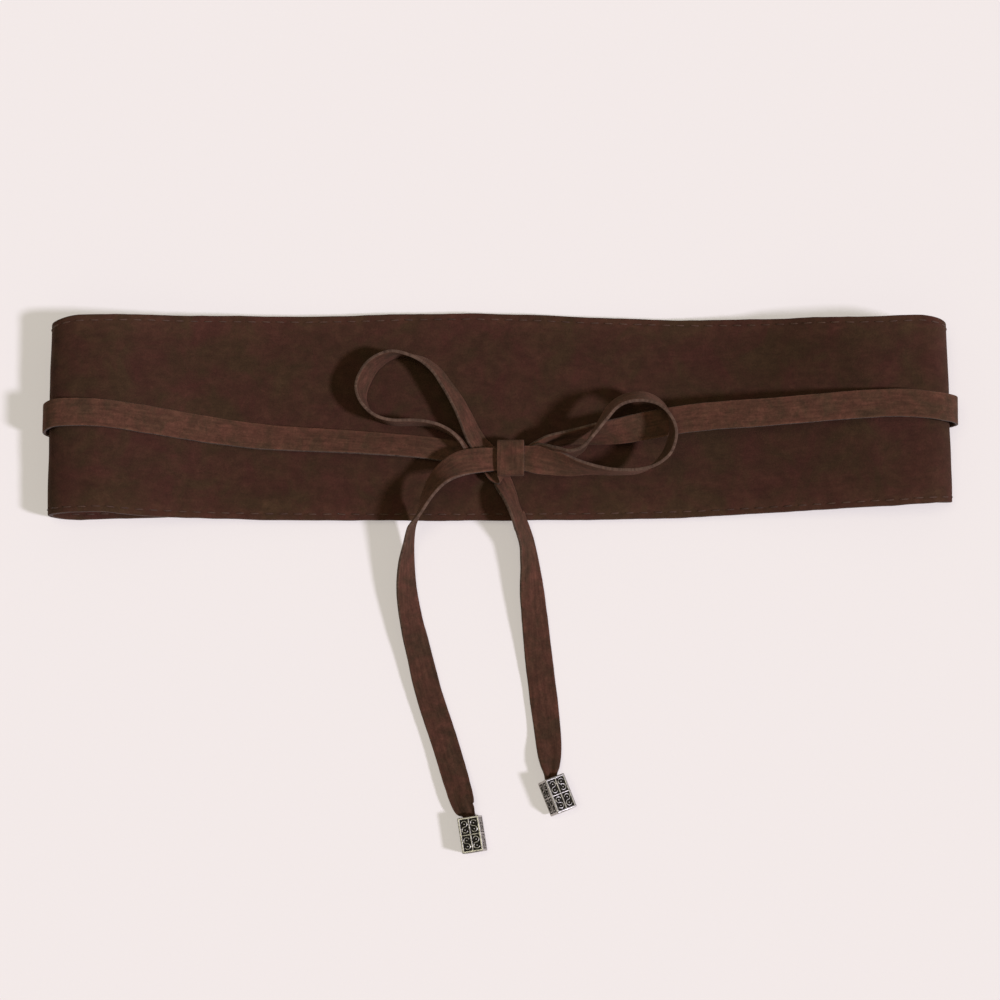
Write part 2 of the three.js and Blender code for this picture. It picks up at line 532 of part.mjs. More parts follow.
function named(name, geometry, colour, roughness, metalness) {
  const mesh = new THREE.Mesh(geometry, new THREE.MeshStandardMaterial({ color: colour, roughness, metalness }));
  mesh.name = name;
  return mesh;
}

const belt = new THREE.Group();
belt.add(named("waist_band", waist_band(), colours.panel, 0.95, 0));
belt.add(named("right_strap", strap(right_strap_rows), colours.strap, 0.95, 0));
belt.add(named("left_strap", strap(left_strap_rows), colours.strap, 0.95, 0));
for (const place of beads) {
  const roll = THREE.MathUtils.degToRad(place.roll);
  const mesh = named(place.name, bead().rotateY(roll), colours.silver, 0.4, 1);
  mesh.position.set(place.x, place.y, (bead_wide / 2) * (Math.cos(roll) + Math.abs(Math.sin(roll))));
  mesh.rotation.z = THREE.MathUtils.degToRad(place.axis - 90);
  belt.add(mesh);
}
belt.position.set(-centre.x, -centre.y, 0);

export default belt;
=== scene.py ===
# Looks for a wide suede wrap belt lying on a pale floor, tied at the front in a bow, with a square
# silver bead on the free end of each strap. Blender 4.5, metres. The tables are in millimetres.

import math

import bpy
import numpy as np
from mathutils import Euler, Matrix, Vector, noise


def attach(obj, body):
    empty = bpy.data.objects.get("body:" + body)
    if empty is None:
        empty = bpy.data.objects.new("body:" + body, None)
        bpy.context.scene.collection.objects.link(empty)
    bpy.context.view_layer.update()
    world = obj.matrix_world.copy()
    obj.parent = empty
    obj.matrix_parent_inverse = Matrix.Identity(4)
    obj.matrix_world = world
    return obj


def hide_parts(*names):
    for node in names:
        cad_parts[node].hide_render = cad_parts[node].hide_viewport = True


MM = 0.001

# The camera, tilted a little from straight above
CAMERA_TARGET = Vector((0.0002, 0.0327, 0.0))
CAMERA_DISTANCE = 1.2
CAMERA_TILT = math.radians(8)
CAMERA_LENS = 108


def make_camera():
    data = bpy.data.cameras.new("camera")
    data.lens = CAMERA_LENS
    data.sensor_width = 36
    camera = bpy.data.objects.new("camera", data)
    away = Vector((0, -math.sin(CAMERA_TILT), math.cos(CAMERA_TILT)))
    camera.location = CAMERA_TARGET + CAMERA_DISTANCE * away
    camera.rotation_euler = Euler((CAMERA_TILT, 0, 0))
    bpy.context.scene.collection.objects.link(camera)
    bpy.context.scene.camera = camera


make_camera()
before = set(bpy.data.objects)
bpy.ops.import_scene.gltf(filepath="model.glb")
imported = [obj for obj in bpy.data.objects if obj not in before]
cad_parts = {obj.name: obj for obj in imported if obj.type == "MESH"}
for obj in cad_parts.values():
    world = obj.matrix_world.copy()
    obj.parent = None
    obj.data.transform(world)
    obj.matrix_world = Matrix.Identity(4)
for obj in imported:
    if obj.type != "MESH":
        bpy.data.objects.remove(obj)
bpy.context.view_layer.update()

# Driving sizes, in millimetres
PANEL_THICK = 2.0
STRAP_THICK = 1.3
BEAD_WIDE = 8.6
BEAD_LONG = 14.0
BEAD_HOLE_RADIUS = 2.9
BEAD_RELIEF = 0.4

# The middle of the whole belt, in the tables' own X and Y
CENTRE = (-0.2, 0.5)

# Rows of the panel's front layer: a place along X, the Y of its two long edges there and the
# height of its upper face at each edge
FRONT_COLUMNS = ("x", "top_y", "bottom_y", "top_z", "bottom_z")
FRONT_ROWS = (
    (-167, 104.1, 25.6, 22.6, 19.8),
    (-157, 104.4, 25.8, 22.3, 19.8),
    (-142, 105.2, 25.0, 18.6, 15.6),
    (-120, 105.9, 24.7, 12.0, 9.6),
    (-97, 106.5, 24.4, 8.2, 7.3),
    (-75, 106.7, 24.3, 6.5, 6.3),
    (-24, 108.0, 24.2, 6.2, 6.2),
    (0, 107.9, 24.3, 6.2, 6.2),
    (40, 106.3, 24.6, 6.2, 6.2),
    (80, 105.0, 25.6, 7.4, 6.6),
    (104, 104.3, 26.7, 12.4, 8.2),
    (127, 103.5, 27.8, 21.0, 11.6),
    (146, 102.7, 28.6, 26.4, 14.6),
    (158, 103.0, 29.0, 27.2, 16.0),
    (167, 103.4, 29.7, 26.6, 16.4),
)
FOLD_X = 167
BACK_END_X = 5
LEFT_FOLD = {"side": -1, "top_reach": 12.2, "bottom_reach": 12.2}
RIGHT_FOLD = {"side": 1, "top_reach": 10.8, "bottom_reach": 12.8}

# The Y of the back layer's long edges, at each fold and at each end in the middle of the back
LEFT_BACK_CORNER = {"top_y": 99.2, "bottom_y": 25.0}
RIGHT_BACK_CORNER = {"top_y": 99.4, "bottom_y": 32.5}
LEFT_BACK_END = {"top_y": 101.0, "bottom_y": 30.0}
RIGHT_BACK_END = {"top_y": 100.0, "bottom_y": 31.5}

# The middle of the back layer is lifted clear of the straps that run under it
BACK_LIFT = 1.8
ACROSS_SHARES = (0, 0.14, 0.31, 0.69, 0.86, 1)
LIFTED_SHARES = (0, 0, 1, 1, 0, 0)

# Rows of each strap: the middle of the ribbon, the direction across it as degrees round Z from +X
# (turn) and degrees up (tip), and its width
STRAP_COLUMNS = ("x", "y", "z", "turn", "tip", "wide")
TURN = STRAP_COLUMNS.index("turn")
TIP = STRAP_COLUMNS.index("tip")
WIDE = STRAP_COLUMNS.index("wide")
RIGHT_STRAP_ROWS = (
    (-28, 74.0, 0.65, 90, 0, 11),
    (60, 71.5, 0.65, 90, 0, 11),
    (150, 67.6, 0.65, 90, 0, 11),
    (166, 67.2, 0.65, 90, 0, 11),
    (172.6, 67.0, 1.6, 90, 0, 11),
    (178.2, 66.9, 5.4, 90, 0, 11),
    (181.0, 66.8, 12.5, 90, 0, 11),
    (179.4, 66.6, 20.2, 90, 0, 11),
    (174.6, 66.7, 25.3, 90, 0, 11),
    (167, 67.4, 27.2, 90, 0, 11),
    (158, 68.0, 27.3, 90, 0, 11),
    (142, 67.5, 26.6, 90, 0, 11),
    (123.5, 66.2, 25.2, 90, 0, 11),
    (104, 64.8, 23.4, 90, 0, 11),
    (85.5, 63.9, 21.0, 90, 2, 11),
    (72, 62.7, 19.0, 90, 5, 11),
    (58.5, 60.5, 17.6, 90, 12, 11),
    (48, 58.7, 16.3, 92, 25, 10.8),
    (37, 57.4, 15.0, 95, 50, 10.2),
    (27, 56.2, 14.6, 97, 66, 9.6),
    (20, 54.5, 13.9, 100, 58, 8.6),
    (15, 51.8, 12.9, 104, 30, 7.0),
    (11.5, 49.9, 12.25, 103, 2, 6.0),
    (8, 49.1, 12.2, 97, 0, 6.0),
    (3, 49.0, 12.2, 92, 0, 6.0),
    (-1.8, 49.0, 12.2, 90, 0, 6.0),
    (-3.2, 49.0, 13.0, 90, 0, 6.0),
    (-1.8, 48.9, 13.8, 90, 0, 6.2),
    (3, 48.4, 13.85, 90, 0, 6.4),
    (8, 48.2, 13.85, 92, 0, 6.6),
    (12, 48.6, 13.85, 98, 4, 6.4),
    (15, 50.0, 14.3, 96, 34, 7.6),
    (18.7, 50.0, 15.6, 90, 60, 9.4),
    (23.2, 49.6, 17.7, 88, 76, 10.6),
    (28, 49.4, 20.2, 96, 84, 11),
    (32.4, 51.1, 22.9, 124, 92, 11),
    (35.8, 54.8, 24.6, 140, 97, 11),
    (41, 62.2, 24.9, 139, 105, 11),
    (44.6, 67.0, 24.6, 131, 110, 11),
    (48.9, 69.8, 24.3, 114, 114, 11),
    (55.7, 71.0, 24.0, 90, 116, 11),
    (61.2, 69.3, 24.3, 62, 110, 11),
    (65, 65.9, 24.9, 38, 101, 11),
    (67.3, 61.5, 25.1, 20, 90, 11),
    (68.1, 56.6, 25.1, 3, 80, 11),
    (67.5, 52.9, 24.7, -16, 76, 11),
    (65.3, 48.3, 23.5, -42, 75, 11),
    (61.3, 44.5, 22.7, -62, 81, 11),
    (54.6, 42.0, 21.2, -80, 88, 11),
    (44.5, 41.9, 19.2, -93, 91, 11),
    (34.8, 43.3, 17.6, -100, 102, 11),
    (26.6, 44.6, 16.7, -100, 127, 11),
    (20.2, 46.2, 16.4, -97, 152, 11),
    (14.6, 47.0, 16.0, -94, 172, 11),
    (10.6, 47.6, 15.45, -92, 178, 10.2),
    (4.2, 47.7, 15.4, -91, 180, 9.4),
    (-2, 47.3, 15.45, -88, 179, 9.2),
    (-8, 46.8, 16.4, -80, 184, 10),
    (-15.8, 45.0, 18.3, -68, 199, 10.6),
    (-23.6, 39.4, 20.8, -44, 227, 11),
    (-28.3, 33.0, 21.0, -30, 244, 11),
    (-31.6, 26.5, 18.8, -22, 259, 11),
    (-34.8, 20.9, 14.0, -17, 275, 11),
    (-36.2, 14.5, 10.8, -12, 284, 11),
    (-37.1, 6.5, 8.0, -4, 298, 11),
    (-36.9, -4.4, 5.9, 6, 312, 11),
    (-35.2, -15.4, 4.7, 13, 323, 10.8),
    (-32.2, -28.1, 3.9, 14, 336, 10.6),
    (-28.3, -43.9, 3.2, 15, 347, 10.6),
    (-21.6, -64.4, 3.2, 15, 353, 10.6),
    (-16.8, -80.3, 4.2, 16, 358, 10.2),
    (-15, -86.4, 4.8, 14, 364, 9.6),
    (-14.1, -89.4, 5.0, 12, 368, 8.4),
    (-13, -90.9, 5.0, 10, 370, 6.8),
    (-12.3, -92.2, 5.0, 9, 370, 5.1),
    (-12.05, -93.1, 5.0, 9, 370, 4.9),
    (-10.3, -103.2, 5.0, 9, 370, 4.9),
)
LEFT_STRAP_ROWS = (
    (28, 57.4, 0.65, 90, 0, 11),
    (-60, 59.4, 0.65, 90, 0, 11),
    (-150, 62.4, 0.65, 90, 0, 11),
    (-166, 62.7, 0.65, 90, 0, 11),
    (-172.8, 62.8, 1.5, 90, 0, 11),
    (-178.2, 63.0, 5.2, 90, 0, 11),
    (-180.8, 63.3, 12.0, 90, 0, 11),
    (-179.5, 63.9, 18.6, 90, 0, 11),
    (-175.6, 64.7, 22.6, 90, 0, 11),
    (-167, 65.0, 23.8, 90, 0, 11),
    (-156, 64.6, 23.0, 90, 0, 11),
    (-138.5, 62.6, 18.8, 88, -2, 11),
    (-125.5, 60.9, 14.9, 86, -6, 11),
    (-112.5, 59.2, 11.9, 84, -10, 10.8),
    (-95.5, 57.3, 9.9, 85, -14, 10.6),
    (-79.5, 56.3, 9.3, 87, -18, 10.4),
    (-64.5, 55.6, 9.2, 87, -20, 10.2),
    (-37, 53.7, 9.2, 85, -22, 9.8),
    (-26.3, 52.6, 8.8, 84, -18, 9.6),
    (-19.5, 51.6, 8.0, 82, -8, 9.2),
    (-13, 50.6, 7.3, 84, 0, 8.2),
    (-6, 50.1, 7.2, 92, 0, 7.2),
    (-0.8, 50.6, 7.25, 112, 0, 6.8),
    (3.0, 52.6, 7.9, 155, 0, 6.8),
    (4.1, 54.2, 10.4, 180, 0, 8.4),
    (4.15, 54.5, 13.4, 180, 0, 10),
    (4.15, 54.2, 16.3, 180, 0, 10.7),
    (4.15, 52.4, 17.2, 180, 0, 10.7),
    (4.15, 43.4, 17.2, 180, 0, 10.7),
    (4.15, 41.7, 16.3, 180, 0, 10.7),
    (4.1, 41.5, 13.9, 181, 0, 10.7),
    (3.0, 41.9, 11.7, 188, 0, 10.4),
    (-1.2, 44.0, 10.5, 214, 0, 10.2),
    (-3.9, 49.2, 10.6, 213, 8, 7.6),
    (-8.0, 53.6, 11.6, 206, 36, 8.8),
    (-11.1, 58.7, 12.3, 204, 52, 10.4),
    (-13.8, 64.6, 12.6, 206, 59, 11),
    (-17.2, 71.4, 12.8, 212, 62, 11),
    (-21.4, 78.0, 12.6, 218, 67, 11),
    (-25.9, 84.1, 12.4, 226, 70, 11),
    (-32.4, 88.7, 12.3, 243, 76, 11),
    (-42.3, 90.2, 12.3, 270, 93, 11),
    (-47.4, 88.1, 12.3, 292, 104, 11),
    (-51.2, 85.0, 12.3, 315, 110, 11),
    (-53.5, 81.5, 12.3, 335, 113, 11),
    (-55.2, 76.8, 12.3, 360, 112, 11),
    (-55, 72.4, 12.3, 382, 104, 11),
    (-52.4, 67.6, 12.3, 405, 96, 11),
    (-48.2, 64.3, 12.3, 425, 92, 11),
    (-42.7, 62.7, 12.3, 440, 90, 11),
    (-33.6, 62.7, 12.3, 446, 90, 11),
    (-28.2, 62.0, 12.4, 436, 90, 11),
    (-23.5, 60.5, 12.6, 424, 90, 10.8),
    (-19.3, 58.2, 13.0, 410, 92, 9.6),
    (-15.9, 55.2, 12.9, 400, 98, 8),
    (-12.6, 51.8, 11.7, 398, 122, 6.4),
    (-8.4, 48.3, 9.9, 402, 156, 6),
    (-3.8, 44.5, 8.85, 402, 178, 6),
    (0.2, 41.0, 8.6, 396, 174, 6.6),
    (2.0, 36.8, 9.8, 387, 142, 8.2),
    (4.2, 31.2, 12.4, 382, 119, 10),
    (6.7, 25.4, 13.5, 380, 117, 10.8),
    (8.3, 21.7, 11.0, 378, 116, 11),
    (10.7, 14.5, 7.1, 374, 120, 11),
    (11.9, 5.8, 5.8, 366, 131, 11),
    (12.7, -4.3, 4.6, 364, 147, 11),
    (13.8, -15.4, 3.7, 366, 158, 11),
    (15.4, -31.1, 2.2, 366, 168, 11),
    (17.3, -46.9, 1.6, 367, 174, 11),
    (18.9, -60.9, 2.2, 367, 172, 10.4),
    (19.5, -69.4, 4.2, 368, 166, 9.2),
    (19.7, -73.6, 5.1, 371, 161, 7.6),
    (19.8, -76.1, 5.55, 378, 160, 5.6),
    (20.1, -78.3, 5.5, 381, 160, 5),
    (24, -88.3, 5.5, 381, 160, 5),
)

# Middle of each bead, the direction of its hole round Z from +X and its roll about the hole
BEADS = (
    {"name": "left_bead", "x": -10.9, "y": -100.0, "axis": 279, "roll": 10},
    {"name": "right_bead", "x": 22.5, "y": -84.5, "axis": 291.5, "roll": -20},
)


def place(points):
    """Table millimetres to metres in the part's frame."""
    return (np.asarray(points, float) - (CENTRE[0], CENTRE[1], 0)) * MM


def smooth_step(low, high, value):
    t = np.clip((np.asarray(value, float) - low) / (high - low), 0, 1)
    return t * t * (3 - 2 * t)


def ripple(points, size, seed):
    """Smooth noise from -1 to 1 at each point. The size is that of one bump, in millimetres."""
    shift = Vector((seed * 17.3, seed * 5.9, seed * 11.1))
    flat = np.asarray(points, float).reshape(-1, 3) / size
    values = [noise.noise(Vector(p) + shift) for p in flat]
    return np.array(values).reshape(np.shape(points)[:-1])


def unit(vectors):
    return vectors / np.linalg.norm(vectors, axis=-1, keepdims=True)


# Meshes

def mesh_object(name, points, faces, materials, face_materials=None, uvs=None):
    mesh = bpy.data.meshes.new(name)
    mesh.from_pydata(np.asarray(points).reshape(-1, 3).tolist(), [], faces)
    for material in materials:
        mesh.materials.append(material)
    if face_materials is not None:
        mesh.polygons.foreach_set("material_index", face_materials)
    mesh.polygons.foreach_set("use_smooth", [True] * len(mesh.polygons))
    if uvs is not None:
        corners = np.empty(len(mesh.loops), int)
        mesh.loops.foreach_get("vertex_index", corners)
        layer = mesh.uv_layers.new(name="UVMap")
        layer.data.foreach_set("uv", np.asarray(uvs, float).reshape(-1, 2)[corners].ravel())
    mesh.validate()
    obj = bpy.data.objects.new(name, mesh)
    bpy.context.scene.collection.objects.link(obj)
    return obj


def loft_faces(rows, columns, closed_rows=False):
    """Quads over rows of closed sections. The ends are capped unless the rows close too."""
    faces = []
    for i in range(rows if closed_rows else rows - 1):
        low = i * columns
        high = ((i + 1) % rows) * columns
        for j in range(columns):
            k = (j + 1) % columns
            faces.append((low + j, low + k, high + k, high + j))
    if not closed_rows:
        faces.append(tuple(range(columns - 1, -1, -1)))
        faces.append(tuple(range((rows - 1) * columns, rows * columns)))
    return faces


# Curves through the rows

def between(rows, i, shares):
    """Points on a smooth curve through the rows, between row i and the next, in every column."""
    picks = [rows[min(max(k, 0), len(rows) - 1)] for k in (i - 1, i, i + 1, i + 2)]
    knots = [0.0]
    for a, b in zip(picks, picks[1:]):
        knots.append(knots[-1] + max(math.sqrt(np.linalg.norm(b[:3] - a[:3])), 1e-3))
    t = (knots[1] + np.asarray(shares, float) * (knots[2] - knots[1]))[:, None]
    level = picks
    for span in (1, 2, 3):
        above = []
        for k in range(4 - span):
            low, high = (knots[1], knots[2]) if span == 3 else (knots[k], knots[k + span])
            above.append((level[k] * (high - t) + level[k + 1] * (t - low)) / (high - low))
        level = above
    return level[0]


# Panel

FRONT_STEP = 1.7
BACK_STEP = 3.0
FOLD_STEPS = 34


def front_stations():
    """The front's rows worked out at even places along X, in the table's own columns."""
    table = np.array(FRONT_ROWS, float)
    rows = np.column_stack([table[:, 0], np.zeros((len(table), 2)), table[:, 1:]])
    count = round(2 * FOLD_X / FRONT_STEP)
    stations = []
    for x in np.linspace(-FOLD_X, FOLD_X, count + 1):
        i = min(int(np.searchsorted(table[:, 0], x, "right")) - 1, len(rows) - 2)
        share = (x - rows[i][0]) / (rows[i + 1][0] - rows[i][0])
        point = between(rows, i, [share])[0]
        stations.append((x, *point[3:]))
    return np.array(stations)


FRONTS = front_stations()


def front_edge(row, share):
    """Y, and height of the middle of the thickness, at a share of the width."""
    at = dict(zip(FRONT_COLUMNS, row))
    y = at["bottom_y"] + (at["top_y"] - at["bottom_y"]) * share
    return y, at["bottom_z"] + (at["top_z"] - at["bottom_z"]) * share - PANEL_THICK / 2


def back_edge(corner, share):
    return corner["bottom_y"] + (corner["top_y"] - corner["bottom_y"]) * share


def back_part(side, end, corner, share, low):
    y_end = back_edge(end, share)
    y_corner = back_edge(corner, share)
    count = round((FOLD_X - BACK_END_X) / BACK_STEP)
    t = np.arange(count) / count
    x = side * (BACK_END_X + (FOLD_X - BACK_END_X) * t)
    y = y_end + (y_corner - y_end) * t
    return np.column_stack([x, y, np.full(count, low), np.zeros(count), np.full(count, -1.0)])


def fold_part(fold, back_corner, corner, share, low):
    y_back = back_edge(back_corner, share)
    y_front, height = front_edge(corner, share)
    reach = fold["bottom_reach"] + (fold["top_reach"] - fold["bottom_reach"]) * share - PANEL_THICK / 2
    rise = (height - low) / 2
    turned = np.arange(FOLD_STEPS) / FOLD_STEPS
    angle = math.pi * (turned - 0.5)
    x = fold["side"] * (FOLD_X + reach * np.cos(angle))
    z = low + rise * (1 + np.sin(angle))
    out = unit(np.column_stack([fold["side"] * np.cos(angle) * rise, np.sin(angle) * reach]))
    return np.column_stack([x, y_back + (y_front - y_back) * turned, z, out])


def front_part(share):
    y, z = np.array([front_edge(row, share) for row in FRONTS]).T
    x = FRONTS[:, 0]
    slope = np.gradient(z, x)
    slope[0] = 0
    slope[-1] = 0
    out = unit(np.column_stack([-slope, np.ones(len(x))]))
    return np.column_stack([x, y, z, out])


def panel_line(share):
    """One line along the whole panel: its points, and the direction of the outer face there."""
    lifted = smooth_step(0, 1, np.interp(share, ACROSS_SHARES, LIFTED_SHARES))
    low = PANEL_THICK / 2 + lifted * BACK_LIFT
    parts = [
        back_part(-1, LEFT_BACK_END, LEFT_BACK_CORNER, share, low),
        fold_part(LEFT_FOLD, LEFT_BACK_CORNER, FRONTS[0], share, low),
        front_part(share),
        fold_part(RIGHT_FOLD, RIGHT_BACK_CORNER, FRONTS[-1], share, low)[::-1],
        back_part(1, RIGHT_BACK_END, RIGHT_BACK_CORNER, share, low)[::-1],
    ]
    line = np.vstack(parts)
    points = line[:, :3]
    out = np.column_stack([line[:, 3], np.zeros(len(line)), line[:, 4]])
    return points, out


PANEL_WIDE = 80
SEAM_INSET = 2.3
SEAM_DEPTH = 0.22
SEAM_GROOVE = 0.35
CUT_EDGE = 0.3

# Insets of the section's points near each long edge, close together at the seam
NEAR_EDGE = [0.45, 0.8, 1.3, 1.7, 2.0, 2.3, 2.6, 2.9, 3.4, 4.1, 5.2, 6.7]
MIDDLE_INSET = 8.4
MIDDLE_COUNT = 36

# How far the back layer leaves its smooth shape, how far the rest does, and how much more at the
# free sides. The back layer is all that lies below the back height.
BACK_RIPPLE = 0.05
FRONT_RIPPLE = 0.12
FREE_RIPPLE = 0.4
BACK_HEIGHT = 4


def panel_section():
    """One closed section of the panel as shares of its width and offsets from mid-thickness."""
    half = PANEL_THICK / 2
    middle = list(np.linspace(MIDDLE_INSET, PANEL_WIDE - MIDDLE_INSET, MIDDLE_COUNT))
    across = np.array(NEAR_EDGE + middle + [PANEL_WIDE - v for v in reversed(NEAR_EDGE)])
    inset = np.minimum(across, PANEL_WIDE - across)
    seams = np.exp(-(((inset - SEAM_INSET) / SEAM_GROOVE) ** 2))
    outer = [(v, half - SEAM_DEPTH * s) for v, s in zip(across, seams)]
    inner = [(v, -half + SEAM_DEPTH * s) for v, s in zip(across, seams)]
    edge = [(0.16, 0.93), (0.03, 0.72), (0.0, 0.45), (0.02, 0.16), (0.16, 0.0)]
    edge = [(v, d * half) for v, d in edge]
    low_edge = [(v, -d) for v, d in edge[:4]] + edge[::-1]
    high_edge = [(PANEL_WIDE - v, -d) for v, d in low_edge]
    section = low_edge + outer + high_edge + inner[::-1]
    return np.array([(v / PANEL_WIDE, d) for v, d in section])


def panel_ripple(points):
    """How far the layer leaves its smooth shape: more at the free sides than in the flat middle."""
    free = smooth_step(70, 150, np.abs(points[..., 0]))
    is_raised = points[..., 2] > BACK_HEIGHT
    size = np.where(is_raised, FRONT_RIPPLE + FREE_RIPPLE * free, BACK_RIPPLE)
    return size * (ripple(points, 24, 3) + 0.5 * ripple(points, 9, 5))


def panel_grid():
    section = panel_section()
    lines = [panel_line(share) for share in section[:, 0]]
    points = np.stack([line[0] for line in lines], axis=1)
    outs = np.stack([line[1] for line in lines], axis=1)
    wave = panel_ripple(points)
    edge = np.abs(section[:, 0] - 0.5) * 2
    edge_wave = 0.3 * ripple(points * (1, 0, 1), 16, 7) + 0.12 * ripple(points * (1, 0, 1), 5, 8)
    points = points + outs * (section[:, 1][None, :] + wave)[..., None]
    points[..., 1] += edge_wave * smooth_step(0.8, 1, edge)[None, :]
    points[..., 2] = np.maximum(points[..., 2], 0)
    return points, section


def lengths_along(points):
    steps = np.linalg.norm(np.diff(points, axis=0), axis=-1)
    return np.concatenate([[0], np.cumsum(steps)])


def make_panel(face, cut):
    points, section = panel_grid()
    rows, columns = points.shape[:2]
    edge_columns = np.minimum(section[:, 0], 1 - section[:, 0]) * PANEL_WIDE < CUT_EDGE
    kinds = []
    for j in range(columns):
        kinds.append(int(edge_columns[j] and edge_columns[(j + 1) % columns]))
    along = lengths_along(points[:, columns // 4])
    across = (section[:, 0] - 0.5) * PANEL_WIDE
    uvs = np.stack(np.meshgrid(along * MM, across * MM, indexing="ij"), axis=-1)
    faces = loft_faces(rows, columns)
    face_kinds = kinds * (rows - 1) + [1, 1]
    panel = mesh_object("waist_panel", place(points), faces, [face, cut], face_kinds, uvs)
    panel.data.flip_normals()
    return panel


# Stitches

STITCH_PITCH = 5.73
STITCH_LONG = 3.9
STITCH_RADIUS = 0.36
STITCH_SWAY = 0.12
STITCH_DIP = 0.26
STITCH_RINGS = 7
STITCH_SIDES = 8


def stitch_points(middle, along, out, sway):
    """A short thread that dips into the leather at both ends."""
    side = np.cross(out, along)
    rings = []
    for t in np.linspace(-1, 1, STITCH_RINGS):
        girth = STITCH_RADIUS * math.sqrt(max(1 - abs(t) ** 3, 0.06))
        sink = -STITCH_DIP * t ** 4
        core = middle + along * t * STITCH_LONG / 2 + side * sway * t + out * (0.05 + sink)
        for angle in np.arange(STITCH_SIDES) * 2 * math.pi / STITCH_SIDES:
            rings.append(core + girth * (math.cos(angle) * side + math.sin(angle) * out))
    return rings


def seam_stitches(offset_share, face_side, seed):
    rng = np.random.default_rng(seed)
    points, out = panel_line(offset_share)
    points = points + out * panel_ripple(points)[:, None]
    points = points + out * face_side * (PANEL_THICK / 2 - SEAM_DEPTH + 0.08)
    along = lengths_along(points)
    count = int((along[-1] - 6) / STITCH_PITCH)
    stitches = []
    for n in range(count):
        s = 4 + n * STITCH_PITCH + rng.uniform(-STITCH_SWAY, STITCH_SWAY)
        middle = np.array([np.interp(s, along, points[:, k]) for k in range(3)])
        ahead = np.array([np.interp(s + 0.6, along, points[:, k]) for k in range(3)])
        facing = np.array([np.interp(s, along, out[:, k]) for k in range(3)]) * face_side
        direction = unit(ahead - middle)
        facing = unit(facing - direction * np.dot(facing, direction))
        sway = rng.uniform(-STITCH_SWAY, STITCH_SWAY)
        stitches.append(stitch_points(middle, direction, facing, sway))
    return stitches


def make_stitches(thread):
    stitches = []
    for share in (SEAM_INSET / PANEL_WIDE, 1 - SEAM_INSET / PANEL_WIDE):
        for face_side in (1, -1):
            stitches += seam_stitches(share, face_side, 11 + len(stitches))
    points = []
    faces = []
    for stitch in stitches:
        base = len(points)
        points += stitch
        faces += [tuple(base + k for k in face) for face in loft_faces(STITCH_RINGS, STITCH_SIDES)]
    points = np.array(points)
    points[:, 2] = np.maximum(points[:, 2], 0)
    return mesh_object("edge_stitching", place(points), faces, [thread])


# Straps

STRAP_STEP = 0.9
STRAP_BEND = math.radians(5)


def strap_points(rows):
    """Points along a strap at short steps, closer in its bends, with every column of its rows."""
    table = np.array(rows, float)
    points = []
    for i in range(len(table) - 1):
        steps = math.ceil(np.linalg.norm(table[i + 1][:3] - table[i][:3]) / 0.3)
        points.append(between(table, i, np.arange(steps) / steps))
    fine = np.vstack(points + [table[-1:]])
    fine[:, 2] = np.maximum(fine[:, 2], STRAP_THICK / 2)
    along, across = strap_directions(fine)
    kept = [0]
    for i in range(1, len(fine) - 1):
        last = kept[-1]
        far = np.linalg.norm(fine[i + 1][:3] - fine[last][:3]) > STRAP_STEP
        bend = min(np.dot(along[i + 1], along[last]), np.dot(across[i + 1], across[last]))
        if far or bend < math.cos(STRAP_BEND):
            kept.append(i)
    kept.append(len(fine) - 1)
    return fine[kept], along[kept], across[kept]


def strap_directions(points):
    ahead = np.vstack([points[1:], points[-1:]])[:, :3]
    behind = np.vstack([points[:1], points[:-1]])[:, :3]
    along = unit(ahead - behind)
    turn = np.radians(points[:, TURN])
    tip = np.radians(points[:, TIP])
    across = np.column_stack([np.cos(tip) * np.cos(turn), np.cos(tip) * np.sin(turn), np.sin(tip)])
    across = across - along * np.sum(across * along, axis=1, keepdims=True)
    return along, unit(across)


FULL_WIDTH = 11
MOST_SQUEEZED = 6
GATHER_DEPTH = 0.9
KNOT_PLACE = (2.0, 48.5, 12.0)

# Distances over which the folds come in, away from the knot and from a bead
GATHER_FROM_KNOT = (9, 16)
GATHER_FROM_BEAD = (5.5, 9)
CALM_FROM_KNOT = (8, 14)


def strap_section():
    """One closed section of a strap: shares of the width, and of half the thickness."""
    face = [(v, 1.0) for v in np.linspace(-0.475, 0.475, 15)]
    side = [(0.492, 0.9), (0.5, 0.55), (0.5, 0.0), (0.5, -0.55), (0.492, -0.9)]
    back = [(-v, -d) for v, d in face]
    return np.array(face + side + back + [(-v, -d) for v, d in side])


def strap_gather(points, bead_place):
    """Depth of the lengthwise folds where a strap is squeezed narrow beside the knot or a bead."""
    squeezed = np.clip(FULL_WIDTH - points[:, WIDE], 0, MOST_SQUEEZED) / MOST_SQUEEZED
    from_knot = np.linalg.norm(points[:, :3] - KNOT_PLACE, axis=1)
    from_bead = np.linalg.norm(points[:, :2] - bead_place, axis=1)
    free = smooth_step(*GATHER_FROM_KNOT, from_knot) * smooth_step(*GATHER_FROM_BEAD, from_bead)
    return GATHER_DEPTH * squeezed * free


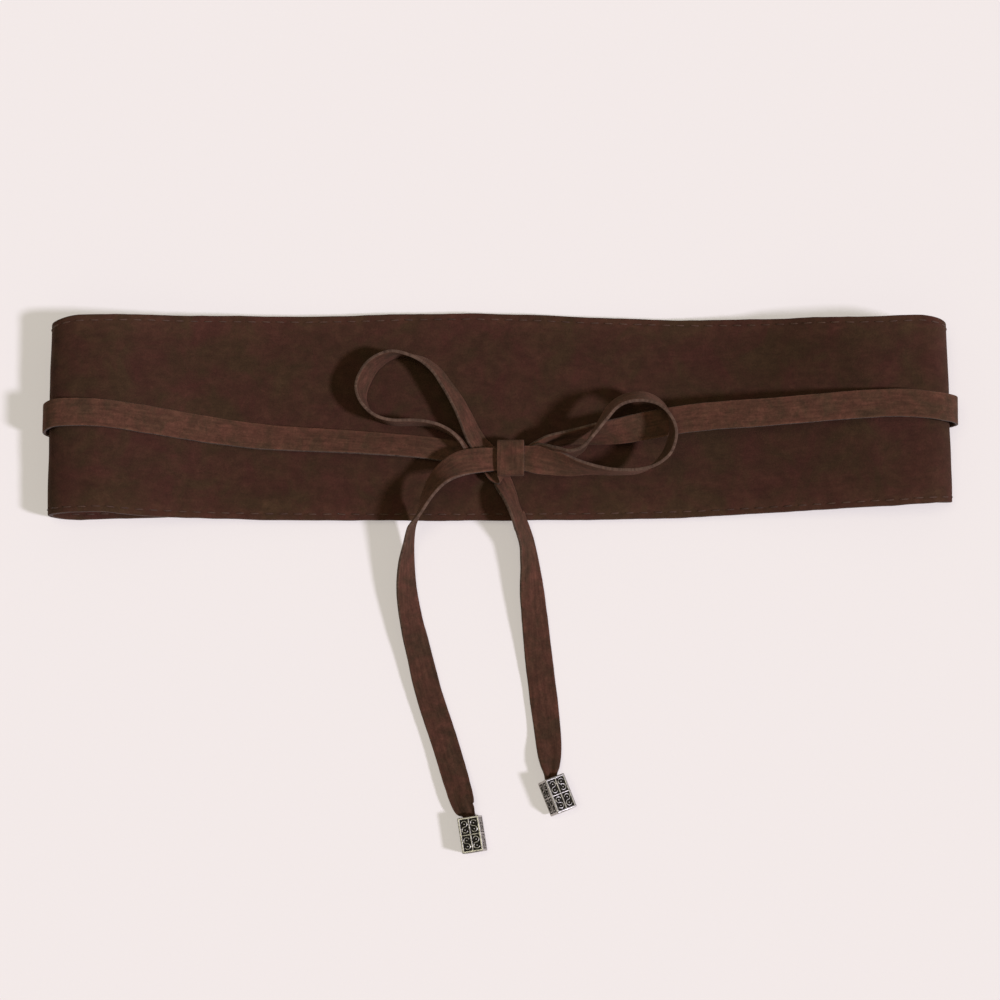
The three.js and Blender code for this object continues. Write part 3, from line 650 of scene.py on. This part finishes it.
def make_strap(name, rows, bead, face, cut, seed):
    points, along, across = strap_points(rows)
    section = strap_section()
    normal = np.cross(along, across)
    middle = points[:, :3]
    wide = points[:, WIDE]
    length = lengths_along(middle)
    gather = strap_gather(points, (bead["x"], bead["y"]))
    line = np.column_stack([length, np.full(len(length), seed * 31.0), np.zeros(len(length))])
    edge_sway = 0.12 * ripple(line, 9, seed) + 0.06 * ripple(line, 2.5, seed + 1)
    share = section[:, 0][None, :]
    fold = gather[:, None] * (np.cos(3 * math.pi * share) - 0.2)
    side_pull = edge_sway[:, None] * np.sign(share)
    grid = middle[:, None] + across[:, None] * (share * wide[:, None] + side_pull)[..., None]
    grain = 0.05 * ripple(grid, 3.5, seed + 2) + 0.08 * ripple(grid, 11, seed + 3)
    calm = smooth_step(*CALM_FROM_KNOT, np.linalg.norm(middle - KNOT_PLACE, axis=1))[:, None]
    depth = section[:, 1][None, :] * STRAP_THICK / 2 + fold + grain * calm
    grid = grid + normal[:, None] * depth[..., None]
    grid[..., 2] = np.maximum(grid[..., 2], 0.0)
    columns = len(section)
    is_side = np.abs(section[:, 0]) > 0.48
    kinds = []
    for j in range(columns):
        kinds.append(int(is_side[j] and is_side[(j + 1) % columns]))
    uvs = np.stack(np.broadcast_arrays(length[:, None] * MM, share * FULL_WIDTH * MM), axis=-1)
    faces = loft_faces(len(middle), columns)
    face_kinds = kinds * (len(middle) - 1) + [1, 1]
    return mesh_object(name, place(grid), faces, [face, cut], face_kinds, uvs)


# Beads

SCROLL_RADIUS = 1.15
SCROLL_SWEEP = 1.35 * math.pi
SCROLL_BAND = 0.6
BOSS_RADIUS = 0.42
SCROLL_START = 1.5 * math.pi - SCROLL_SWEEP
POST = 0.9
BAR = 0.7
END_BAR = 0.9
SLOPE = 0.12
BEAD_CORNER = 0.34
BEAD_FACE_POINTS = 58
BEAD_ROWS = 112


def arc_distance(u, v, bowl):
    """Distance to one bowl of the S-shaped scroll. The upper bowl is 1, the lower is -1."""
    u, v = bowl * u, bowl * v
    angle = np.mod(np.arctan2(v - SCROLL_RADIUS, u) - SCROLL_START, 2 * math.pi)
    ring = np.abs(np.hypot(u, v - SCROLL_RADIUS) - SCROLL_RADIUS)
    tip = (SCROLL_RADIUS * math.cos(SCROLL_START), SCROLL_RADIUS * (1 + math.sin(SCROLL_START)))
    ends = np.minimum(np.hypot(u - tip[0], v - tip[1]), np.hypot(u, v))
    return np.where(angle <= SCROLL_SWEEP, ring, ends)


def rounded(distance, half):
    """Height share of a rounded ridge at a distance from its middle line."""
    return np.sqrt(np.clip(1 - (distance / half) ** 2, 0, 1))


def bead_height(u, y):
    """Height of the raised work above the bead's sunk ground, from 0 to 1."""
    half = BEAD_WIDE / 2
    height = smooth_step(half - POST - SLOPE, half - POST + SLOPE, np.abs(u))
    ends = smooth_step(BEAD_LONG / 2 - END_BAR - SLOPE, BEAD_LONG / 2 - END_BAR + SLOPE, np.abs(y))
    bars = np.maximum(rounded(u, BAR / 2 + 0.08), rounded(y, BAR / 2 + 0.08))
    height = np.maximum(np.maximum(height, ends), bars)
    cell_u = (half - POST + BAR / 2) / 2
    cell_y = (BEAD_LONG / 2 - END_BAR + BAR / 2) / 2
    local_y = np.abs(y) - cell_y
    local_u = (np.abs(u) - cell_u) * np.sign(u)
    mirrored = np.where(np.sign(u) * np.sign(y) < 0, -local_u, local_u)
    local_y = local_y * np.sign(y)
    for bowl in (1, -1):
        height = np.maximum(height, rounded(arc_distance(mirrored, local_y, bowl), SCROLL_BAND / 2))
        boss = np.hypot(mirrored, local_y - bowl * SCROLL_RADIUS)
        height = np.maximum(height, rounded(boss, BOSS_RADIUS))
    return height


def bead_section():
    """Places round the bead: the face's turn, the place across it and how far it is rounded off."""
    flat_half = BEAD_WIDE / 2 - BEAD_CORNER
    flat = np.linspace(-flat_half, flat_half, BEAD_FACE_POINTS)
    arc = np.radians([22.5, 45, 67.5])
    places = []
    for side in range(4):
        for u in flat:
            places.append((side, u, 0.0))
        for angle in arc:
            u = flat_half + BEAD_CORNER * math.sin(angle)
            places.append((side, u, BEAD_CORNER * (1 - math.cos(angle))))
    return np.array(places)


def bead_ring(places, y, inset, relief):
    side, u, cut = places.T
    ground = BEAD_WIDE / 2 - BEAD_RELIEF
    height = bead_height(u, np.full(len(u), y)) if relief else np.ones(len(u))
    out = ground + BEAD_RELIEF * height - cut - inset
    across = u * (BEAD_WIDE / 2 - inset) / (BEAD_WIDE / 2)
    angle = side * math.pi / 2
    x = across * np.cos(angle) + out * np.sin(angle)
    z = -across * np.sin(angle) + out * np.cos(angle)
    return np.column_stack([x, np.full(len(u), y), z]), height


def bead_hole_ring(outer, y, radius):
    flat = outer[:, [0, 2]]
    round_flat = unit(flat) * radius
    return np.column_stack([round_flat[:, 0], np.full(len(flat), y), round_flat[:, 1]])


def make_bead(bead, silver):
    places = bead_section()
    half = BEAD_LONG / 2
    rows = []
    heights = []
    for y in np.linspace(-half + 0.3, half - 0.3, BEAD_ROWS):
        ring, height = bead_ring(places, y, 0, True)
        rows.append(ring)
        heights.append(height)
    for side in (1, -1):
        rims = []
        for y, inset in ((half - 0.1, 0.08), (half, 0.3)):
            ring, height = bead_ring(places, side * y, inset, False)
            rims.append(ring)
        rims.append(bead_hole_ring(rims[-1], side * half, BEAD_HOLE_RADIUS + 0.55))
        rims.append(bead_hole_ring(rims[-1], side * half, BEAD_HOLE_RADIUS + 0.15))
        rims.append(bead_hole_ring(rims[-1], side * (half - 0.15), BEAD_HOLE_RADIUS))
        rims.append(bead_hole_ring(rims[-1], side * (half - 1.5), BEAD_HOLE_RADIUS))
        rim_heights = [np.ones(len(places))] * 4 + [np.full(len(places), 0.6), np.zeros(len(places))]
        if side > 0:
            rows += rims
            heights += rim_heights
        else:
            rows += rims[::-1]
            heights += rim_heights[::-1]
    points = np.array(rows)
    turn = Matrix.Rotation(math.radians(bead["axis"] - 90), 3, "Z")
    roll = math.radians(bead["roll"])
    turn = np.array(turn @ Matrix.Rotation(roll, 3, "Y"))
    lift = BEAD_WIDE / 2 * (math.cos(roll) + abs(math.sin(roll)))
    points = points @ turn.T + (bead["x"], bead["y"], lift)
    faces = loft_faces(len(rows), len(places), closed_rows=True)
    piece = mesh_object(bead["name"] + "_cast", place(points), faces, [silver])
    relief = piece.data.attributes.new("relief", "FLOAT", "POINT")
    relief.data.foreach_set("value", np.concatenate(heights).astype(np.float32))
    return piece


# Materials

def linear(red, green, blue):
    """A colour given as 0-255 screen values, as Blender's linear colour."""
    values = [c / 255 for c in (red, green, blue)]
    return tuple(c / 12.92 if c <= 0.04045 else ((c + 0.055) / 1.055) ** 2.4 for c in values) + (1,)


class Nodes:
    """Short calls that build one material's nodes."""

    def __init__(self, name):
        self.material = bpy.data.materials.new(name)
        self.material.use_nodes = True
        self.tree = self.material.node_tree
        self.shader = self.tree.nodes["Principled BSDF"]

    def add(self, kind, inputs=None, **settings):
        node = self.tree.nodes.new(kind)
        for key, value in settings.items():
            setattr(node, key, value)
        for key, value in (inputs or {}).items():
            self.feed(node.inputs[key], value)
        return node

    def feed(self, socket, value):
        if isinstance(value, bpy.types.NodeSocket):
            self.tree.links.new(value, socket)
        else:
            socket.default_value = value

    def noise(self, vector, scale, detail=2, roughness=0.5, distortion=0):
        values = {"Vector": vector, "Scale": scale, "Detail": detail, "Roughness": roughness}
        return self.add("ShaderNodeTexNoise", {**values, "Distortion": distortion}).outputs["Fac"]

    def stretch(self, vector, scale):
        return self.add("ShaderNodeMapping", {"Vector": vector, "Scale": scale}).outputs["Vector"]

    def span(self, value, low, high, to_low, to_high):
        names = ("Value", "From Min", "From Max", "To Min", "To Max")
        values = dict(zip(names, (value, low, high, to_low, to_high)))
        return self.add("ShaderNodeMapRange", values).outputs["Result"]

    def math(self, operation, a, b):
        return self.add("ShaderNodeMath", {0: a, 1: b}, operation=operation).outputs[0]

    def ramp(self, value, stops):
        node = self.add("ShaderNodeValToRGB", {"Fac": value})
        elements = node.color_ramp.elements
        while len(elements) < len(stops):
            elements.new(0.5)
        for element, (position, colour) in zip(elements, stops):
            element.position = position
            element.color = colour
        return node.outputs["Color"]

    def shade(self, colour, value):
        return self.add("ShaderNodeHueSaturation", {"Color": colour, "Value": value}).outputs["Color"]

    def bump(self, height, distance, strength=1.0):
        values = {"Height": height, "Distance": distance, "Strength": strength}
        return self.add("ShaderNodeBump", values).outputs["Normal"]

    def set(self, **values):
        for key, value in values.items():
            self.feed(self.shader.inputs[key.replace("_", " ")], value)


# Each suede: its three tones, the size of a patch, the scales of the marks and how far they change the
# tone, where the piece turns lighter towards its long edges and how much (partly edge wear, partly a
# painted highlight where the edges catch the light), its sheen, and how dark the straps' hanging ends
# are painted, a painted shade on the ends, which lie in front of the panel
PANEL_SUEDE = {
    "tones": (linear(56, 38, 25), linear(59, 36, 26), linear(62, 34, 27)),
    "patch": 0.016,
    "marks": {"along": 170, "across": 520, "depth": 0.11},
    "edge_wear_and_highlight": {"start": 0.030, "end": 0.037, "tone": 1.2},
    "sheen": 0.07,
    "hanging_end_shade": 1,
}
STRAP_SUEDE = {
    "tones": (linear(69, 48, 35), linear(78, 50, 38), linear(87, 53, 42)),
    "patch": 0.008,
    "marks": {"along": 110, "across": 800, "depth": 0.26},
    "edge_wear_and_highlight": {"start": 0.0045, "end": 0.0053, "tone": 1.2},
    "sheen": 0.09,
    "hanging_end_shade": 0.76,
}
NAP_SCALE = 1500
CLOUD_TONES = (0.82, 1.2)
# Crease lines are darkened as painted shade.
CREASE_SHADE_TONES = (0.88, 1)
SCUFF_TONES = (1, 1.22)
NAP_TONES = (0.82, 1.18)

# The Y in metres over which the painted shade on the hanging ends gives way to the full tone
HANGING_BELOW_Y = (-0.02, 0.03)


def suede(name, look):
    """Brushed suede: soft patches of three tones, fine nap, marks where it was stroked, painted shade
    along thin creases, a painted highlight mixed with edge wear towards the long edges, and painted
    shade on the straps' hanging ends.
    """
    n = Nodes(name)
    coords = n.add("ShaderNodeTexCoord")
    place_in = coords.outputs["Object"]
    along = coords.outputs["UV"]
    patch, marks, edge_wear_and_highlight = look["patch"], look["marks"], look["edge_wear_and_highlight"]
    patches = n.noise(place_in, 1 / patch, detail=4, roughness=0.62, distortion=0.6)
    colour = n.ramp(patches, list(zip((0.36, 0.5, 0.66), look["tones"])))
    cloud = n.noise(place_in, 3 / patch, detail=4, roughness=0.6, distortion=0.4)
    stretched = n.stretch(along, (marks["along"], marks["across"], 1))
    strokes = n.noise(stretched, 1, detail=3, roughness=0.6)
    crease_shade = n.math("ABSOLUTE", n.math("SUBTRACT", cloud, 0.5), 0)
    scuffs = n.noise(place_in, 1.6 / patch, detail=5, roughness=0.7, distortion=0.8)
    nap = n.noise(place_in, NAP_SCALE, detail=2, roughness=0.7)
    stroked = n.span(strokes, 0.3, 0.75, 1 - marks["depth"], 1 + marks["depth"])
    tone = n.math("MULTIPLY", n.span(cloud, 0.3, 0.7, *CLOUD_TONES), stroked)
    # Painted shade along thin crease lines.
    tone = n.math("MULTIPLY", tone, n.span(crease_shade, 0, 0.015, *CREASE_SHADE_TONES))
    tone = n.math("MULTIPLY", tone, n.span(scuffs, 0.6, 0.7, *SCUFF_TONES))
    tone = n.math("MULTIPLY", tone, n.span(nap, 0.25, 0.75, *NAP_TONES))
    y_place = n.add("ShaderNodeSeparateXYZ", {"Vector": place_in}).outputs["Y"]
    # Painted shade: the straps' hanging ends are made darker.
    tone = n.math("MULTIPLY", tone, n.span(y_place, *HANGING_BELOW_Y, look["hanging_end_shade"], 1))
    across = n.add("ShaderNodeSeparateXYZ", {"Vector": along}).outputs["Y"]
    from_middle = n.math("ABSOLUTE", across, 0)
    # Lighter towards the long edges: partly edge wear, partly a painted highlight.
    tone = n.math("MULTIPLY", tone, n.span(from_middle, edge_wear_and_highlight["start"], edge_wear_and_highlight["end"], 1, edge_wear_and_highlight["tone"]))
    n.set(Base_Color=n.shade(colour, tone))
    height = n.math("ADD", n.math("MULTIPLY", nap, 0.5), n.math("MULTIPLY", strokes, 0.6))
    n.set(Normal=n.bump(height, 0.00025, 0.6))
    n.set(Roughness=0.95, Specular_IOR_Level=0.12)
    n.set(Sheen_Weight=look["sheen"], Sheen_Roughness=0.55, Sheen_Tint=linear(205, 160, 135))
    return n.material


def cut_suede(name, low, high):
    """The raw cut edge: paler, with short fibres running along it."""
    n = Nodes(name)
    coords = n.add("ShaderNodeTexCoord")
    fibre = n.noise(n.stretch(coords.outputs["UV"], (700, 2400, 1)), 1, detail=3, roughness=0.7)
    spots = n.noise(coords.outputs["Object"], 260, detail=2)
    blend = n.math("MULTIPLY", n.span(fibre, 0.3, 0.7, 0.4, 1), n.span(spots, 0.3, 0.7, 0.7, 1.1))
    n.set(Base_Color=n.ramp(blend, [(0.3, low), (0.9, high)]))
    n.set(Normal=n.bump(fibre, 0.0002, 0.7))
    n.set(Roughness=0.95, Specular_IOR_Level=0.1, Sheen_Weight=0.06, Sheen_Roughness=0.5)
    return n.material


def thread_material():
    n = Nodes("seam_thread")
    coords = n.add("ShaderNodeTexCoord")
    twist = n.noise(coords.outputs["Object"], 2600, detail=1)
    tone = n.noise(coords.outputs["Object"], 45, detail=2)
    colour = n.ramp(tone, [(0.35, linear(62, 38, 28)), (0.65, linear(78, 52, 40))])
    n.set(Base_Color=n.shade(colour, n.span(twist, 0.3, 0.7, 0.8, 1.2)))
    n.set(Normal=n.bump(twist, 0.0001, 0.6), Roughness=0.7, Specular_IOR_Level=0.3)
    return n.material


def silver_material():
    """Antique silver: bright worn ridges over blackened ground."""
    n = Nodes("antique_silver")
    coords = n.add("ShaderNodeTexCoord")
    relief = n.add("ShaderNodeAttribute", attribute_name="relief").outputs["Fac"]
    stain = n.noise(coords.outputs["Object"], 900, detail=4, roughness=0.65)
    worn = n.math("ADD", relief, n.span(stain, 0.3, 0.7, -0.42, 0.22))
    stops = [(0.08, linear(42, 38, 34)), (0.5, linear(96, 90, 84)), (0.95, linear(182, 175, 170))]
    n.set(Base_Color=n.ramp(worn, stops))
    n.set(Metallic=1.0, Roughness=n.span(worn, 0.1, 0.9, 0.62, 0.4))
    pits = n.noise(coords.outputs["Object"], 3200, detail=2)
    n.set(Normal=n.bump(pits, 0.00006, 0.6))
    return n.material


FLOOR_GLOW = 0.42


def floor_material():
    """Pale paper lit partly from below, so that the shadows on it stay light."""
    n = Nodes("floor_paper")
    coords = n.add("ShaderNodeTexCoord")
    grain = n.noise(coords.outputs["Object"], 900, detail=2)
    shade = n.ramp(grain, [(0.0, linear(241, 232, 230)), (1.0, linear(243, 234, 232))])
    n.set(Base_Color=n.shade(shade, 1 - FLOOR_GLOW), Roughness=0.95, Specular_IOR_Level=0.0)
    n.set(Emission_Color=linear(242, 233, 231), Emission_Strength=FLOOR_GLOW)
    return n.material


# Stage

def make_floor():
    corners = [(-9, -9, 0), (9, -9, 0), (9, 9, 0), (-9, 9, 0)]
    floor = mesh_object("floor", corners, [(0, 1, 2, 3)], [floor_material()])


KEY = {"towards": (0.95, -0.3, 1.0), "strength": 2.7, "angle": 7, "colour": (1.0, 1.0, 1.18)}
FILL = {"towards": (-0.15, 0.0, 1.0), "strength": 0.78, "angle": 30, "colour": (1.0, 1.0, 0.76)}
SKY_LOW = (0.12, 0.12, 0.09, 1)
SKY_HIGH = (0.185, 0.185, 0.14, 1)


def make_sun(name, light):
    data = bpy.data.lights.new(name, "SUN")
    data.energy = light["strength"]
    data.angle = math.radians(light["angle"])
    data.color = light["colour"]
    sun = bpy.data.objects.new(name, data)
    sun.rotation_euler = Vector(light["towards"]).to_track_quat("Z", "Y").to_euler()
    bpy.context.scene.collection.objects.link(sun)


def make_world():
    """Dim soft light from all round, brightest from straight above."""
    world = bpy.data.worlds.new("studio")
    bpy.context.scene.world = world
    world.use_nodes = True
    tree = world.node_tree
    coords = tree.nodes.new("ShaderNodeTexCoord")
    split = tree.nodes.new("ShaderNodeSeparateXYZ")
    ramp = tree.nodes.new("ShaderNodeValToRGB")
    tree.links.new(coords.outputs["Generated"], split.inputs["Vector"])
    tree.links.new(split.outputs["Z"], ramp.inputs["Fac"])
    ramp.color_ramp.elements[0].color = SKY_LOW
    ramp.color_ramp.elements[1].color = SKY_HIGH
    tree.links.new(ramp.outputs["Color"], tree.nodes["Background"].inputs["Color"])
    bpy.context.scene.view_settings.view_transform = "Standard"


def dress(piece, node):
    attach(piece, "root")
    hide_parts(node)


def build():
    panel_face = suede("panel_suede", PANEL_SUEDE)
    panel_cut = cut_suede("panel_edge", linear(58, 38, 30), linear(84, 60, 48))
    strap_face = suede("strap_suede", STRAP_SUEDE)
    strap_cut = cut_suede("strap_edge", linear(60, 43, 35), linear(102, 78, 66))
    silver = silver_material()

    panel = make_panel(panel_face, panel_cut)
    dress(panel, "waist_band")
    stitches = make_stitches(thread_material())
    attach(stitches, "root")

    right = make_strap("right_strap_ribbon", RIGHT_STRAP_ROWS, BEADS[0], strap_face, strap_cut, 21)
    dress(right, "right_strap")
    left = make_strap("left_strap_ribbon", LEFT_STRAP_ROWS, BEADS[1], strap_face, strap_cut, 41)
    dress(left, "left_strap")

    for bead in BEADS:
        dress(make_bead(bead, silver), bead["name"])

    make_floor()
    make_sun("key_light", KEY)
    make_sun("fill_light", FILL)
    make_world()


build()
